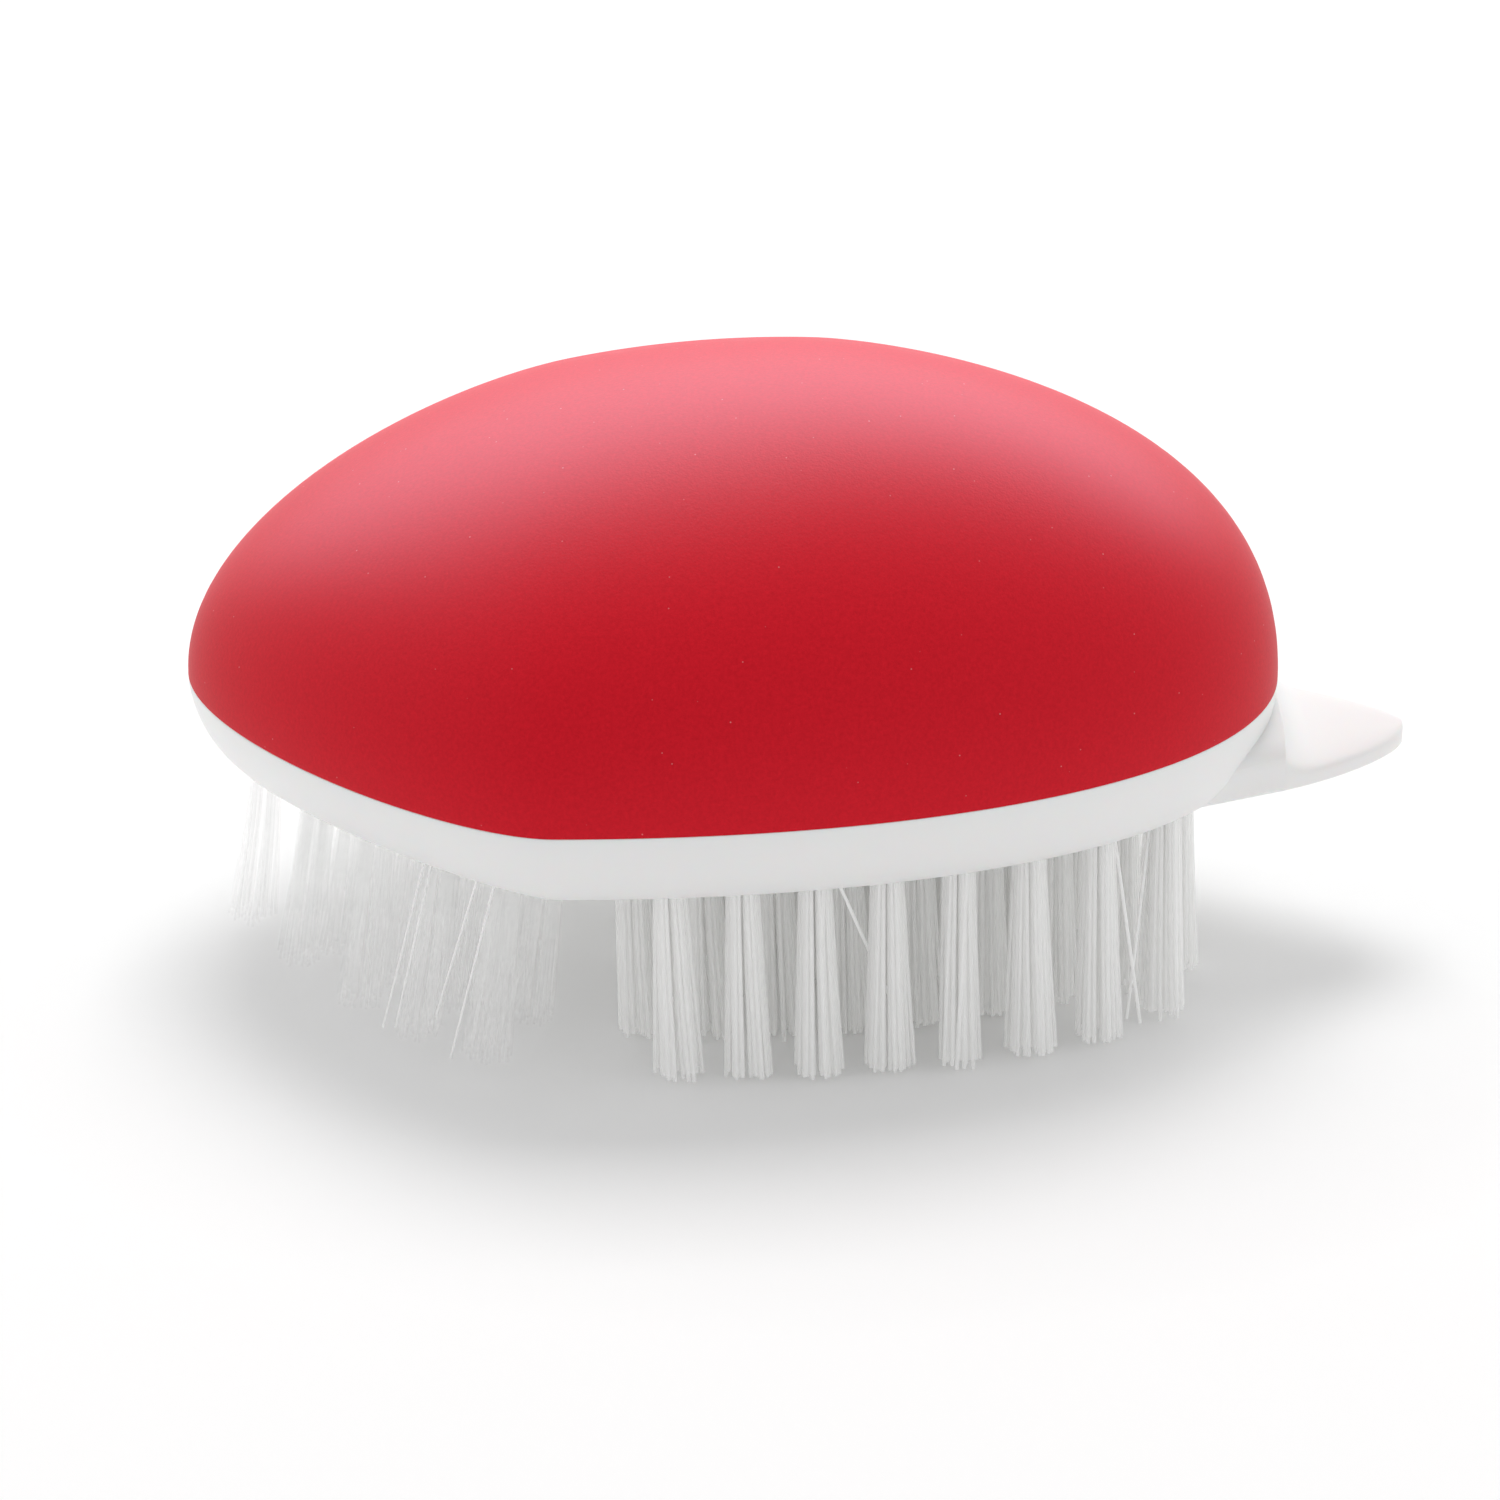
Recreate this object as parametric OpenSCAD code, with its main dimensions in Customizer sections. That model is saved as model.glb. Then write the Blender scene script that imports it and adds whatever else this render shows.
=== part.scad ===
// Palm vegetable brush: a soft dome grip on a rigid shell, over a white tuft block with a pointed beak.
// The block carries two fields of tufts, stiff towards the beak and soft towards the tail, with a lane
// between them. Each tuft is folded over a flat staple in its own blind hole.
// X runs from the tail to the beak, Z is up, and the origin lies under the middle at the bristle tips.

/* [Body outline] */
// Length of the body without the beak
body_l = 114.6; // [104:0.2:124]
// Width of the body at its widest place
body_w = 80.4; // [72:0.2:88]
// Where the body is widest, from its middle towards the beak
widest_x = -17.4; // [-24:0.2:-10]
// How blunt the tail is in plan
tail_bluntness = 16.6; // [13:0.2:22]
// Reach of the full width from the widest place towards the tail
tail_fullness = 11.4; // [7:0.2:18]
// Reach of the full width from the widest place towards the nose
nose_fullness = 41.5; // [30:0.5:46]
// How blunt the nose is in plan
nose_bluntness = 24.1; // [18:0.2:30]

/* [Dome] */
// Height of the dome above the parting line
dome_h = 34.1; // [28:0.1:40]
// Where the dome is highest, from the middle of the body towards the beak
crown_x = 8.5; // [0:0.5:14]
// How steeply the dome rises from the tail
tail_rise = 18; // [14:0.5:26]
// Reach of the crown towards the tail
crown_tail_reach = 34.6; // [24:0.2:44]
// Reach of the crown towards the nose
crown_nose_reach = 8.3; // [4:0.1:20]
// How steeply the dome rises from the nose
nose_rise = 29.3; // [20:0.1:34]
// Thickness of the soft grip cover
cover_t = 2.0; // [1.2:0.1:3]
// Bond line between the grip cover and the shell
bond_t = 0.15; // [0.15:0.05:0.3]
// Thickness of the rigid shell
shell_t = 2.2; // [1.6:0.1:3]

/* [Shell inside] */
// Diameter of a weld post
post_d = 6; // [4.5:0.5:7]
// Depth of a weld post in its socket
post_depth = 2.5; // [1.5:0.1:3]
// Clearance round a weld post, and under it
post_gap = 0.2; // [0.1:0.05:0.3]
// Thickness of a stiffening rib
rib_t = 1.6; // [1.2:0.1:2.4]
// Gap between the ribs and the block
rib_lift = 3; // [2:0.5:8]
// Distance of the side posts from the centre line
side_post_y = 20; // [16:0.5:24]
// Distance of the front post from the middle of the body
front_post_x = 14; // [8:0.5:18]

/* [Rim and block] */
// Height of the white rim and block
rim_h = 9.5; // [8.6:0.1:11]
// How far the rim draws in under the tail
rim_in_tail = 5.5; // [4.6:0.1:6.4]
// How far the rim draws in under the sides
rim_in_side = 5.8; // [4:0.1:6.5]
// How far the rim draws in under the nose
rim_in_nose = 3.6; // [3:0.1:4.4]
// How straight the rim draws in: 1 is a round section
rim_straightness = 1.2; // [1:0.05:1.6]
// How blunt the tail of the underside is, as a share of the tail at the parting line
under_bluntness = 0.8; // [0.5:0.05:1]
// Reach of the full width of the underside towards the tail, as a share of the parting line's
under_fullness = 0.4; // [0.2:0.05:1]
// Height of the locating lip on top of the block
lip_h = 2.4; // [1.5:0.1:3]
// Thickness of the locating lip
lip_t = 1.6; // [1.2:0.1:2]
// Clearance between the lip and the shell
lip_gap = 0.6; // [0.4:0.05:1]

/* [Beak] */
// How far the beak reaches past the nose
beak_reach = 13.6; // [10:0.1:18]
// How far inside the nose the beak starts
beak_anchor = 13; // [10:0.5:16]
// Half width of the beak where it starts inside the block
beak_root_w = 17.8; // [14:0.5:18.5]
// Half width of the beak at mid length
beak_mid_w = 12.2; // [9:0.1:13.5]
// Half width of the blunt beak tip
beak_tip_w = 5.4; // [3:0.1:7]
// Height of the beak's top above the underside of the block
beak_top_h = 3.1; // [2.4:0.1:4]
// Height of the beak's lower face above the underside of the block
beak_under_h = 0.2; // [0.15:0.05:0.6]
// How much the lower face rises at the tip
beak_tip_lift = 0.9; // [0:0.1:1.4]
// Radius of the fillet between the beak's top and the rim
beak_fillet_r = 3.6; // [2:0.1:5]

/* [Tufts] */
// Free length of the bristles below the block
bristle_l = 22; // [18:0.5:28]
// Depth of the worn tips that is cut flat
tip_trim = 0.5; // [0.3:0.1:1]
// Diameter of a tuft hole
hole_d = 3.6; // [3.2:0.1:4]
// Depth of a tuft hole
hole_depth = 5.5; // [4.5:0.1:6]
// Clearance between a tuft and its hole
tuft_gap = 0.1; // [0.05:0.01:0.15]
// Pitch of the tufts along a row, which is fitted to the room from the lane to the ends
tuft_pitch = 7.3; // [6.8:0.1:9]
// Least wall between two tuft holes
hole_wall = 1.0; // [0.8:0.1:1.5]
// Distance of the outer row of tufts from the body outline at the tail
row_in_tail = 11; // [10:0.1:12]
// Distance of the outer row of tufts from the body outline at the sides
row_in_side = 8.6; // [8:0.1:10]
// Distance of the outer row of tufts from the body outline at the nose
row_in_nose = 6.6; // [6.4:0.1:9]
// Distance of the innermost pair of rows from the centre line, where the body is widest
row_in_middle = 5.5; // [5:0.1:6.5]
// Distance of the last tufts at the nose from the end of their row's curve
nose_space = 5.9; // [4:0.1:7]
// Distance of the last tufts at the tail from the end of their row's curve
tail_space = 2.9; // [2:0.1:5]
// Distance of the end pair at the nose from the end of that curve
nose_pair_in = 3.9; // [2:0.1:5]
// Distance of the end pair at the nose from the centre line
nose_pair_y = 3.8; // [3:0.1:4.5]
// Distance of the end tuft at the tail from the body outline
tail_tuft_in = 8; // [7.5:0.1:8.5]
// Middle of the lane between the stiff and the soft tufts, from the middle of the body
lane_x = -14.5; // [-17:0.1:-12]
// Width of the lane between the tufts' centres
lane_w = 8.1; // [7.6:0.1:12]
// How far every other row stands back from the lane
row_stagger = 4.1; // [3:0.1:4.5]
// How far the outer stiff tips lean to the sides at the nose
lean_out = 6; // [0:0.1:7]
// How far the stiff tips lean away from the lane
stiff_lean = 0.9; // [0:0.1:2]
// How far the soft tips lean away from the lane
soft_lean = 2.6; // [0:0.1:3]
// How much shorter the soft tufts are than the stiff ones
soft_short = 1.4; // [0:0.1:2]
// How far a tuft spreads at its tips
tuft_spread = 1.0; // [0.4:0.1:1.2]

/* [Staples] */
// Length of a staple
staple_l = 4.8; // [4.4:0.1:5.2]
// Thickness of a staple
staple_t = 0.4; // [0.3:0.05:0.6]
// Height of a staple
staple_h = 1.6; // [1.2:0.1:2]
// Thickness of the bristle fold over a staple
fold_t = 0.9; // [0.6:0.1:1.2]
// Clearance round a staple
staple_gap = 0.05; // [0.03:0.01:0.1]

/* [Hidden] */

$fn = 48;

cover_colour = [0.78, 0.09, 0.13];
shell_colour = [0.82, 0.82, 0.80];
block_colour = [0.93, 0.93, 0.92];
stiff_colour = [0.90, 0.91, 0.90];
soft_colour = [0.96, 0.97, 0.97];
staple_colour = [0.72, 0.71, 0.68];

half_l = body_l / 2;
half_w = body_w / 2;
// The origin lies under the middle of the whole length, beak included
body_x = -beak_reach / 2;
// Heights of the underside of the block and of the parting line over the tips
block_z = bristle_l;
part_z = bristle_l + rim_h;

// Steps along each half of a curve, along the dome, round a dome section and down the rim
curve_steps = 20;
dome_steps = 44;
arc_steps = 22;
shell_steps = 26;
shell_arc_steps = 12;
rim_steps = 7;
beak_steps = 9;
fillet_steps = 5;
beak_side_steps = 6;

STIFF = 1;
SOFT = -1;
rows = 5;
row_step = (half_w - row_in_side - row_in_middle) / (rows - 2);
// Least wall between two staple seats
staple_wall = 0.2;
// How far the tips are scattered, a seed for it, and how many of them end a little higher
tip_scatter = 0.2;
scatter_seed = 41;
short_tips = 0.2;
// Share of a strand's foot in its part of the tuft root, and of its tip
foot_share = 0.74;
tip_share = 0.66;
strands_per_tuft = 5;

function cubic(p, t) =
    pow(1 - t, 3) * p[0] + 3 * pow(1 - t, 2) * t * p[1] + 3 * (1 - t) * t * t * p[2] + pow(t, 3) * p[3];

// A smooth hump over the length of the body: it starts and ends upright and is level at its peak.
// The ends and the peak are drawn in by the given amounts, with the curve's handles in proportion.
function hump(peak_x, peak, tail_rise, tail_reach, nose_reach, nose_rise, in_tail, in_peak, in_nose) =
    let (
        x0 = -half_l + in_tail,
        x1 = half_l - in_nose,
        top = peak - in_peak,
        v = top / peak,
        a = (peak_x - x0) / (peak_x + half_l),
        b = (x1 - peak_x) / (half_l - peak_x)
    )
    concat(
        [for (i = [0 : curve_steps - 1])
            cubic([[x0, 0], [x0, tail_rise * v], [peak_x - tail_reach * a, top], [peak_x, top]],
                  i / curve_steps)],
        [for (i = [0 : curve_steps])
            cubic([[peak_x, top], [peak_x + nose_reach * b, top], [x1, nose_rise * v], [x1, 0]],
                  i / curve_steps)]
    );

// Half of the plan outline, from the tail to the nose
function plan(in_tail, in_side, in_nose) =
    hump(widest_x, half_w, tail_bluntness, tail_fullness, nose_fullness, nose_bluntness,
         in_tail, in_side, in_nose);

// The dome's height along the centre line
function spine(inset) =
    hump(crown_x, dome_h, tail_rise, crown_tail_reach, crown_nose_reach, nose_rise,
         inset, inset, inset);

function mirrored(half) = [for (i = [len(half) - 2 : -1 : 1]) [half[i][0], -half[i][1]]];
function closed(half) = concat(half, mirrored(half));
function raised(points, z) = [for (p = points) [p[0], p[1], z]];

// Stations along the dome, closer together towards both ends
function stations(inset, n) =
    let (l = half_l - inset)
    [for (i = [1 : n - 1]) -l * cos(180 * i / n)];

// Points of a dome: the tail, a half ring over each station, and the nose
function dome_points(inset, n, m) =
    let (side = plan(inset, inset, inset), top = spine(inset))
    concat(
        [[-half_l + inset, 0, 0]],
        [for (x = stations(inset, n))
            for (j = [0 : m])
                [x, -lookup(x, side) * cos(180 * j / m), lookup(x, top) * sin(180 * j / m)]],
        [[half_l - inset, 0, 0]]
    );

// Outward faces of a dome whose points start at k
function dome_faces(k, n, m) =
    let (last = k + 1 + (n - 1) * (m + 1))
    concat(
        [for (j = [0 : m - 1]) [k, k + 2 + j, k + 1 + j]],
        [for (i = [0 : n - 3])
            for (j = [0 : m - 1])
                let (a = k + 1 + i * (m + 1) + j, b = a + m + 1)
                [a, a + 1, b + 1, b]],
        [for (j = [0 : m - 1])
            let (a = last - (m + 1) + j)
            [a, a + 1, last]]
    );

function flipped(faces) = [for (f = faces) [for (i = [len(f) - 1 : -1 : 0]) f[i]]];

// Indices round a dome's foot, from the tail along the near side to the nose and back
function foot_ring(k, n, m) =
    concat(
        [k],
        [for (i = [0 : n - 2]) k + 1 + i * (m + 1)],
        [k + 1 + (n - 1) * (m + 1)],
        [for (i = [n - 2 : -1 : 0]) k + 1 + i * (m + 1) + m]
    );

// A domed shell between two insets, open below
module domed_shell(outer, inner, n, m) {
    a = dome_points(outer, n, m);
    b = dome_points(inner, n, m);
    ra = foot_ring(0, n, m);
    rb = foot_ring(len(a), n, m);
    c = len(ra);
    polyhedron(
        points = concat(a, b),
        faces = concat(
            dome_faces(0, n, m),
            flipped(dome_faces(len(a), n, m)),
            [for (i = [0 : c - 1]) [ra[i], ra[(i + 1) % c], rb[(i + 1) % c], rb[i]]]
        )
    );
}

// A solid dome, closed below
module solid_dome(inset, n, m) {
    foot = foot_ring(0, n, m);
    polyhedron(
        points = dome_points(inset, n, m),
        faces = concat(
            dome_faces(0, n, m),
            [[foot[0], foot[1], foot[len(foot) - 1]]],
            [for (i = [1 : n - 2]) [foot[i], foot[i + 1], foot[len(foot) - i - 1], foot[len(foot) - i]]],
            [[foot[n - 1], foot[n], foot[n + 1]]]
        )
    );
}

// A closed loft through rings with the same number of points
module loft(rings) {
    c = len(rings[0]);
    polyhedron(
        points = [for (r = rings) each r],
        faces = concat(
            [[for (j = [c - 1 : -1 : 0]) j]],
            [for (i = [0 : len(rings) - 2])
                for (j = [0 : c - 1])
                    [i * c + j, i * c + (j + 1) % c, (i + 1) * c + (j + 1) % c, (i + 1) * c + j]],
            [[for (j = [0 : c - 1]) (len(rings) - 1) * c + j]]
        )
    );
}

function side_posts() = [[lane_x, side_post_y], [lane_x, -side_post_y]];
function posts() = concat(side_posts(), [[lane_x, 0], [front_post_x, 0]]);

// Soft grip cover over the whole dome, down to the parting line
module grip_cover() {
    color(cover_colour)
    translate([body_x, 0, part_z])
        domed_shell(0, cover_t, dome_steps, arc_steps);
}

// Rigid shell under the grip cover, with ribs and the posts that are welded into the block
module inner_shell() {
    outer = cover_t + bond_t;
    inner = outer + shell_t;
    color(shell_colour)
    translate([body_x, 0, part_z])
    union() {
        domed_shell(outer, inner, shell_steps, shell_arc_steps);
        intersection() {
            solid_dome(inner - shell_t / 2, shell_steps, shell_arc_steps);
            union() {
                translate([-half_l, -rib_t / 2, rib_lift]) cube([body_l, rib_t, dome_h]);
                translate([lane_x - rib_t / 2, -half_w, rib_lift]) cube([rib_t, body_w, dome_h]);
                for (p = posts()) translate([p[0], p[1], rib_lift]) cylinder(d = post_d, h = dome_h);
            }
        }
        for (p = posts()) translate([p[0], p[1], -post_depth + post_gap])
            cylinder(d = post_d, h = post_depth + 2 * rib_lift);
    }
}

// Rings of the rim, from the parting line down to the underside, nearly round in section.
// The tail grows less full on the way down.
function rim_ring(j) =
    let (
        a = 90 * j / rim_steps,
        s = 1 - pow(cos(a), rim_straightness),
        z = rim_h * (1 - pow(sin(a), rim_straightness)),
        bluntness = tail_bluntness * (1 - (1 - under_bluntness) * s),
        fullness = tail_fullness * (1 - (1 - under_fullness) * s)
    )
    raised(closed(hump(widest_x, half_w, bluntness, fullness, nose_fullness, nose_bluntness,
                       rim_in_tail * s, rim_in_side * s, rim_in_nose * s)), z);

module rim_body() {
    loft([for (j = [rim_steps : -1 : 0]) rim_ring(j)]);
}

// Where the beak starts inside the block, and where it ends.
// Its plan curve runs a little past the end, so that the last section is a blunt tip.
beak_x0 = half_l - beak_anchor;
beak_x1 = half_l + beak_reach;
fillet_x = half_l + beak_fillet_r;
curve_x1 = fillet_x + (beak_x1 - fillet_x) / sin(90 * beak_steps / (beak_steps + 1));
beak_plan = [for (i = [0 : 2 * curve_steps])
    cubic([[beak_x0, beak_root_w], [half_l, beak_mid_w], [curve_x1, beak_tip_w], [curve_x1, 0]],
          i / (2 * curve_steps))];

// Height of the beak's top along the centre line, with the fillet against the rim
function beak_top(x) =
    let (d = max(0, min(beak_fillet_r, fillet_x - x)))
    beak_top_h + beak_fillet_r - sqrt(pow(beak_fillet_r, 2) - pow(d, 2));

// How square a beak section is, how high its widest place lies and how wide its flat underside is
beak_squareness = 0.6;
beak_shoulder = 0.5;
beak_flat = 0.92;

// A beak section: flat below, with round shoulders above
function beak_section(x) =
    let (
        w = lookup(x, beak_plan),
        low = beak_under_h + beak_tip_lift * pow(max(0, (x - half_l) / beak_reach), 2),
        thick = beak_top(x) - low
    )
    concat(
        [for (j = [0 : 2 * beak_side_steps])
            let (
                a = 90 * j / beak_side_steps,
                c = sign(cos(a)) * pow(abs(cos(a)), beak_squareness),
                s = pow(sin(a), beak_squareness)
            )
            [x, -w * c, low + thick * (beak_shoulder + (1 - beak_shoulder) * s)]],
        [[x, w * beak_flat, low], [x, -w * beak_flat, low]]
    );

// The pointed beak that digs out eyes and spots, in one piece with the block
module beak() {
    fillet = [for (j = [0 : fillet_steps]) half_l + beak_fillet_r * (1 - cos(90 * j / fillet_steps))];
    point = [for (i = [1 : beak_steps])
        fillet_x + (curve_x1 - fillet_x) * sin(90 * i / (beak_steps + 1))];
    loft([for (x = concat([beak_x0], fillet, point)) beak_section(x)]);
}

// Lip that locates the shell on the block
module locating_lip() {
    outer = cover_t + bond_t + shell_t + lip_gap;
    translate([0, 0, rim_h]) difference() {
        linear_extrude(lip_h) polygon(closed(plan(outer, outer, outer)));
        translate([0, 0, -1]) linear_extrude(lip_h + 2)
            polygon(closed(plan(outer + lip_t, outer + lip_t, outer + lip_t)));
    }
}

// White block with its rim, beak and lip, and with a blind hole and a staple seat for each tuft
module brush_block() {
    color(block_colour)
    translate([body_x, 0, block_z])
    difference() {
        union() {
            rim_body();
            beak();
            locating_lip();
        }
        for (t = all_tufts()) translate([t[0], t[1], -1]) cylinder(d = hole_d, h = hole_depth + 1);
        for (t = all_tufts()) translate([t[0], t[1], 0]) staple_shape(staple_gap);
        for (p = posts()) translate([p[0], p[1], rim_h - post_depth])
            cylinder(d = post_d + 2 * post_gap, h = post_depth + 1);
    }
}

// Whether two tufts leave a wall between their holes and between their staple seats
function clear(a, b) =
    norm(a - b) >= hole_d + hole_wall
    && (abs(a[0] - b[0]) > staple_t + staple_wall || abs(a[1] - b[1]) > staple_l + staple_wall);

// The tufts of a row that stay clear of all the others
function clear_tufts(row, others) =
    [for (t = row) if (len([for (o = others) if (!clear(t, o)) o]) == 0) t];

function end_x(side) = side > 0 ? half_l - row_in_nose : row_in_tail - half_l;
function first_x(side, k) = lane_x + side * (lane_w / 2 + (k + 1) % 2 * row_stagger);

// Pitch that fills the outer row evenly from the lane to the end
function fitted_pitch(side) =
    let (room = side * (end_x(side) - first_x(side, 0)) - (side > 0 ? nose_space : tail_space))
    room / round(room / tuft_pitch);

// The tufts that close the outer row: a pair at the nose and a single one at the tail
function end_tufts(side) =
    side == STIFF
        ? [for (m = [-1, 1]) [end_x(side) - nose_pair_in, m * nose_pair_y]]
        : [[tail_tuft_in - half_l, 0]];

// One row of tufts on one side of the lane, following the outline, with its mirror image.
// Every other row stands back from the lane, and the last row lies on the centre line.
function row_tufts(side, k) =
    let (
        outer = plan(row_in_tail, row_in_side, row_in_nose),
        x0 = first_x(side, k),
        step = side * fitted_pitch(side),
        n = floor((end_x(side) - x0) / step),
        row = [for (i = [0 : n])
            let (x = x0 + i * step, y = lookup(x, outer) - k * row_step)
            each k == rows - 1 ? [[x, 0]] : 2 * y > staple_l + staple_wall ? [[x, -y], [x, y]] : []]
    )
    k == 0
        ? concat(row, end_tufts(side))
    : k == rows - 1
        ? clear_tufts(row, row_tufts(side, 0))
        : clear_tufts(row, concat(row_tufts(side, k - 1), row_tufts(side, rows - 1)));

function all_tufts() = [for (side = [STIFF, SOFT]) for (k = [0 : rows - 1]) each row_tufts(side, k)];

// How far the tips of a tuft lie from its root: the soft tufts lean away from the lane.
// The stiff ones do so next to it, and lean more and more to the sides towards the nose.
function tip_shift(t, side, k) =
    let (share = (t[0] - lane_x) / (half_l - lane_x))
    side == STIFF
        ? [stiff_lean * (1 - share), sign(t[1]) * lean_out * share * (1 - k / rows)]
        : [-soft_lean, 0];

// Points of one tuft: the root's top, its foot, the strands' feet and the strands' tips
function tuft_points(t, side, k, number) =
    let (
        n = strands_per_tuft,
        r = hole_d / 2 - tuft_gap,
        tip_z = (side == SOFT ? soft_short : 0) - bristle_l,
        turn = 36 * number,
        corner = [for (i = [0 : n - 1]) r * [cos(turn + 360 * i / n), sin(turn + 360 * i / n)]],
        lean = tip_shift(t, side, k),
        jitter = rands(-1, 1, 3 * n, scatter_seed + 97 * number + 13 * k + side)
    )
    concat(
        [for (c = corner) [each (t + c), hole_depth - tuft_gap]],
        [for (c = corner) [each (t + c), 0]],
        [[each t, 0]],
        [for (i = [0 : n - 1])
            let (tri = [[0, 0], corner[i], corner[(i + 1) % n]], mid = (tri[0] + tri[1] + tri[2]) / 3)
            for (q = tri) [each (t + mid + foot_share * (q - mid)), 0]],
        [for (i = [0 : n - 1])
            let (
                tri = [[0, 0], corner[i], corner[(i + 1) % n]],
                mid = (tri[0] + tri[1] + tri[2]) / 3,
                scatter = [jitter[3 * i], jitter[3 * i + 1]],
                tip = t + lean + mid * (1 + tuft_spread) + tip_scatter * scatter,
                z = max(0, tip_trim * (jitter[3 * i + 2] - 1 + 2 * short_tips))
            )
            for (q = tri) [each (tip + tip_share * (q - mid)), tip_z + z]]
    );

// Faces of one tuft whose points start at k
function tuft_faces(k) =
    let (n = strands_per_tuft, low = k + n, hub = k + 2 * n, foot = hub + 1, tip = foot + 3 * n)
    concat(
        [[for (i = [n - 1 : -1 : 0]) k + i]],
        [for (i = [0 : n - 1]) [k + i, k + (i + 1) % n, low + (i + 1) % n, low + i]],
        [for (i = [0 : n - 1])
            let (ring = [hub, low + i, low + (i + 1) % n], f = foot + 3 * i, g = tip + 3 * i)
            each concat(
                [for (j = [0 : 2]) [ring[j], ring[(j + 1) % 3], f + (j + 1) % 3, f + j]],
                [for (j = [0 : 2]) [f + j, f + (j + 1) % 3, g + (j + 1) % 3, g + j]],
                [[g, g + 1, g + 2]]
            )]
    );

// One row of tufts, each a root that fills its hole with the strands fused to it
module tuft_row(side, k) {
    tufts = row_tufts(side, k);
    size = len(tuft_points(tufts[0], side, k, 0));
    color(side == STIFF ? stiff_colour : soft_colour)
    translate([body_x, 0, block_z])
    difference() {
        polyhedron(
            points = [for (i = [0 : len(tufts) - 1]) each tuft_points(tufts[i], side, k, i)],
            faces = [for (i = [0 : len(tufts) - 1]) each tuft_faces(size * i)]
        );
        for (t = tufts) translate([t[0], t[1], 0]) staple_shape(staple_gap);
    }
}

// A flat wire staple across its hole, under the fold of the tuft
module staple_shape(gap) {
    top = hole_depth - tuft_gap - fold_t;
    translate([-staple_t / 2 - gap, -staple_l / 2 - gap, top - staple_h - gap])
        cube([staple_t + 2 * gap, staple_l + 2 * gap, staple_h + 2 * gap]);
}

module staple_row(side, k) {
    color(staple_colour)
    translate([body_x, 0, block_z])
        for (t = row_tufts(side, k)) translate([t[0], t[1], 0]) staple_shape(0);
}

grip_cover();
inner_shell();
brush_block();
tuft_row(STIFF, 0);  // stiff_tufts_outer_row
tuft_row(STIFF, 1);  // stiff_tufts_second_row
tuft_row(STIFF, 2);  // stiff_tufts_third_row
tuft_row(STIFF, 3);  // stiff_tufts_fourth_row
tuft_row(STIFF, 4);  // stiff_tufts_centre_row
tuft_row(SOFT, 0);  // soft_tufts_outer_row
tuft_row(SOFT, 1);  // soft_tufts_second_row
tuft_row(SOFT, 2);  // soft_tufts_third_row
tuft_row(SOFT, 3);  // soft_tufts_fourth_row
tuft_row(SOFT, 4);  // soft_tufts_centre_row
staple_row(STIFF, 0);  // stiff_staples_outer_row
staple_row(STIFF, 1);  // stiff_staples_second_row
staple_row(STIFF, 2);  // stiff_staples_third_row
staple_row(STIFF, 3);  // stiff_staples_fourth_row
staple_row(STIFF, 4);  // stiff_staples_centre_row
staple_row(SOFT, 0);  // soft_staples_outer_row
staple_row(SOFT, 1);  // soft_staples_second_row
staple_row(SOFT, 2);  // soft_staples_third_row
staple_row(SOFT, 3);  // soft_staples_fourth_row
staple_row(SOFT, 4);  // soft_staples_centre_row
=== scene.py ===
"""Palm vegetable brush: soft red grip cover, white block with a beak, and two fields of nylon tufts."""

import math

import bmesh
import bpy
import numpy as np
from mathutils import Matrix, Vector


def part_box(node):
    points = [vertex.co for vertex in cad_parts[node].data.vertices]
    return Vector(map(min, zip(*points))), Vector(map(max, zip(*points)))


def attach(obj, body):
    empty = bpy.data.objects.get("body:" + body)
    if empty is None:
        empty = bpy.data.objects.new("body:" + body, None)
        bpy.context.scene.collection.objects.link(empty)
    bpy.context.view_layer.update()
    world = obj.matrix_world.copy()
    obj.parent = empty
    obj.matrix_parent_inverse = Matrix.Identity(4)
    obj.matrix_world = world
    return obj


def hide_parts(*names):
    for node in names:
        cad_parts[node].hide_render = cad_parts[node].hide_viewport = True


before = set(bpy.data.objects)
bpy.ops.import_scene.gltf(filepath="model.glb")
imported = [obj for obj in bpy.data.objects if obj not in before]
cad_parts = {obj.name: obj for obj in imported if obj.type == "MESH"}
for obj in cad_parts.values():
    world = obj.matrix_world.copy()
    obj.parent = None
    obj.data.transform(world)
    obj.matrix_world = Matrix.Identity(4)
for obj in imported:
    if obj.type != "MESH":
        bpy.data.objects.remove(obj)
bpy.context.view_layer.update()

MM = 0.001

# Places and sizes that the frame gives, in millimetres
COVER_LOW, COVER_HIGH = (np.array(p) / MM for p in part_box("grip_cover"))
BLOCK_LOW, BLOCK_HIGH = (np.array(p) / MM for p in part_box("brush_block"))
HALF_L = (COVER_HIGH[0] - COVER_LOW[0]) / 2
HALF_W = (COVER_HIGH[1] - COVER_LOW[1]) / 2
BODY_X = (COVER_HIGH[0] + COVER_LOW[0]) / 2
PART_Z = COVER_LOW[2]
BLOCK_Z = BLOCK_LOW[2]
DOME_H = COVER_HIGH[2] - PART_Z
RIM_H = PART_Z - BLOCK_Z
BEAK_REACH = BLOCK_HIGH[0] - BODY_X - HALF_L

# Handles of the body's curves, in millimetres, as the part's source has them
WIDEST_X = -17.4
TAIL_BLUNTNESS, TAIL_FULLNESS, NOSE_FULLNESS, NOSE_BLUNTNESS = 16.6, 11.4, 41.5, 24.1
CROWN_X = 8.5
TAIL_RISE, CROWN_TAIL_REACH, CROWN_NOSE_REACH, NOSE_RISE = 18, 34.6, 8.3, 29.3
RIM_IN = np.array([5.5, 5.8, 3.6])
RIM_STRAIGHTNESS = 1.2
UNDER_BLUNTNESS, UNDER_FULLNESS = 0.8, 0.4
COVER_T = 2.0
EDGE_R = 0.1

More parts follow.
